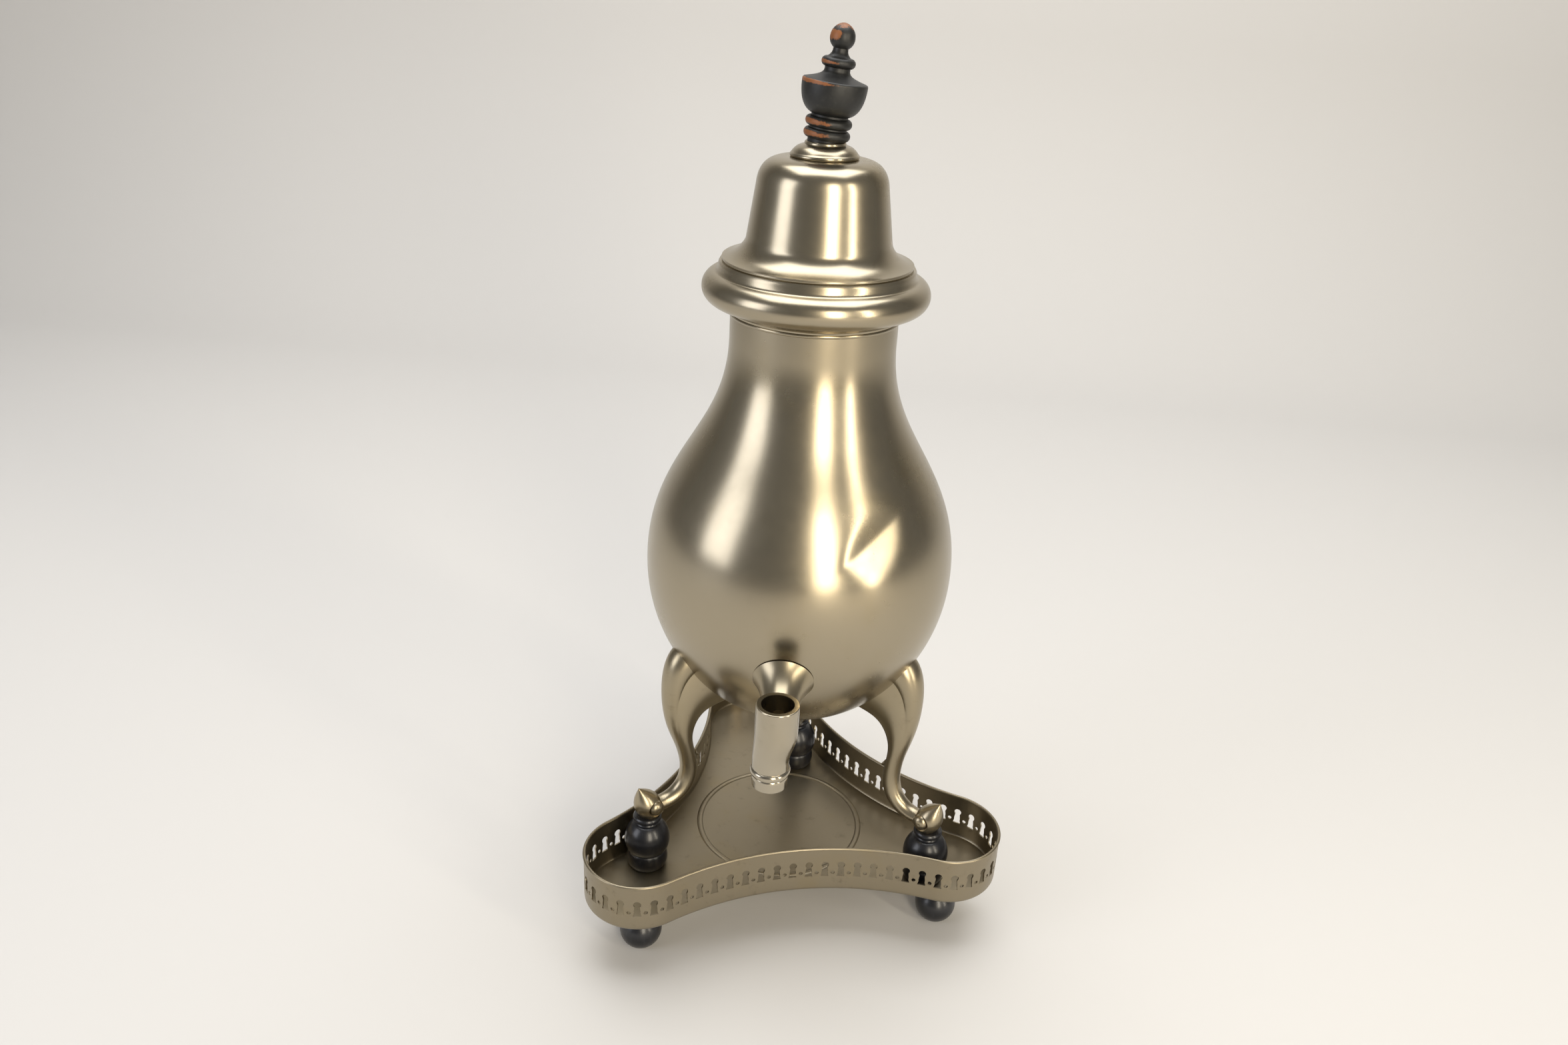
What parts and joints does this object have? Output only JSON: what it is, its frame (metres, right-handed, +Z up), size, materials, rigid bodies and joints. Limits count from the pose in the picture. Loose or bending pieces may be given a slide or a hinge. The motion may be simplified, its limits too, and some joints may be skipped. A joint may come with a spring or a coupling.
{
  "type": "coffee urn",
  "caption": "Pear-shaped coffee urn with a tap and a lift-off domed lid on S-shaped legs, standing on a lobed tray with a pierced gallery",
  "frame": {"origin": "on the floor, under the middle of the bounding box", "axes": "+Z up, -Y the way the tap points, +X to the right seen from the tap's side"},
  "size_m": [0.215, 0.2246, 0.4524],
  "materials": {
    "worn_nickel": "worn satin nickel plate on brass",
    "bright_nickel": "polished nickel plate on brass",
    "ebonised_wood": "ebonised turned wood, half gloss",
    "worn_black_wood": "worn matt black on turned brown wood",
    "plain_brass": "plain brass, dull"
  },
  "bodies": {
    "tray": {"tray_plate": "worn_nickel", "tray_gallery": "worn_nickel", "gallery_rim_wire": "worn_nickel", "tray_foot_left": "ebonised_wood", "tray_foot_right": "ebonised_wood", "tray_foot_back": "ebonised_wood", "tray_foot_studs": "plain_brass"},
    "urn": {"urn_body": "worn_nickel", "rim_moulding": "worn_nickel", "neck_bead": "worn_nickel", "tap_neck": "bright_nickel", "tap_barrel": "bright_nickel", "leg_left": "worn_nickel", "leg_right": "worn_nickel", "leg_back": "worn_nickel", "leg_foot_left": "ebonised_wood", "leg_foot_right": "ebonised_wood", "leg_foot_back": "ebonised_wood", "leg_foot_pins": "plain_brass"},
    "lid": {"lid_dome": "worn_nickel", "lid_flange": "worn_nickel", "finial_collar": "worn_nickel", "finial": "worn_black_wood", "finial_stud": "plain_brass", "finial_washer": "plain_brass", "finial_nut": "plain_brass"}
  },
  "joints": [
    {"name": "urn_lift", "type": "slide", "parent": "tray", "child": "urn", "axis": [0, 0, 1], "range_m": [0, 0.06]},
    {"name": "lid_lift", "type": "slide", "parent": "urn", "child": "lid", "axis": [0, 0, 1], "range_m": [0, 0.05]}
  ]
}
